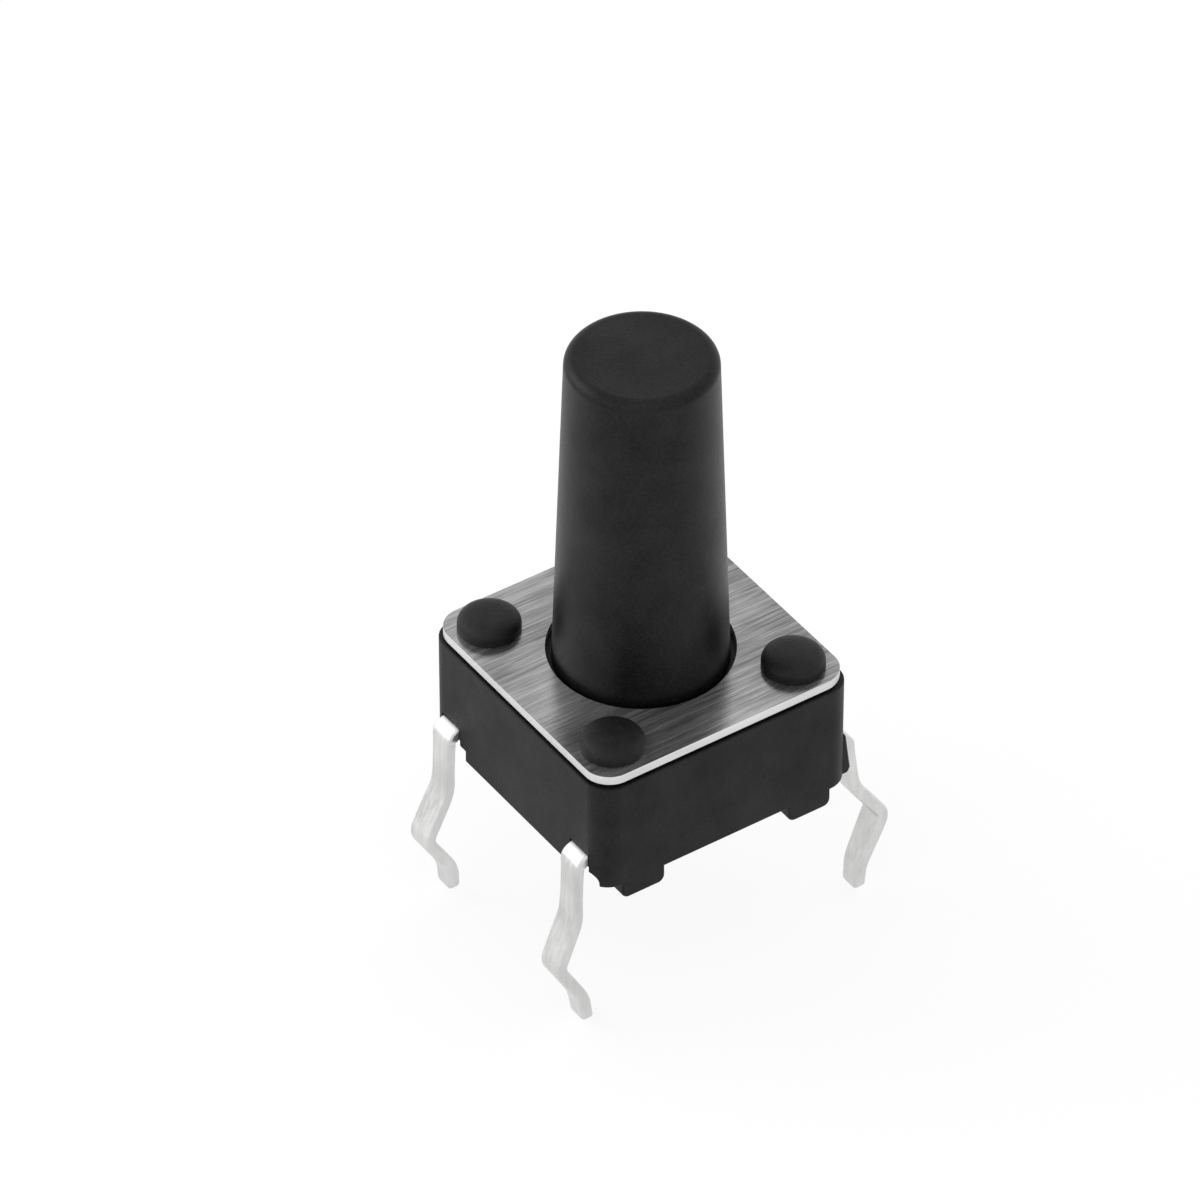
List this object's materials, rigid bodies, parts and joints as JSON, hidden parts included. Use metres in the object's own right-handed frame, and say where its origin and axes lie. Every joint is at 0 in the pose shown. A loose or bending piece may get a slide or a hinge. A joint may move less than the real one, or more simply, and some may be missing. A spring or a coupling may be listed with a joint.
{
  "type": "tactile push button switch",
  "caption": "Square through-hole tactile push button switch with a tall round button, a riveted metal cover plate and kinked solder legs.",
  "frame": {"origin": "middle of the plane in which the four pads stand on the circuit board", "axes": "+Z the way the button stands, X the way the two legs of one terminal lie apart"},
  "size_m": [0.0081, 0.006, 0.0139],
  "materials": {
    "body_plastic": "satin black moulded plastic",
    "cover_metal": "brushed sheet with bright sheared edges",
    "button_plastic": "satin black moulded plastic",
    "spring_steel": "smooth spring steel",
    "plated_strip": "bright tin plating over brass strip"
  },
  "bodies": {
    "housing": {"base": "body_plastic", "cover_plate": "cover_metal", "snap_dome": "spring_steel", "terminal_outer": "plated_strip", "terminal_centre": "plated_strip"},
    "button": {"plunger": "button_plastic"}
  },
  "joints": [
    {"name": "press", "type": "slide", "parent": "housing", "child": "button", "axis": [0, 0, -1], "range_m": [0, 0.00025], "stiffness_N_per_m": 6400, "deforming": ["snap_dome"]}
  ]
}
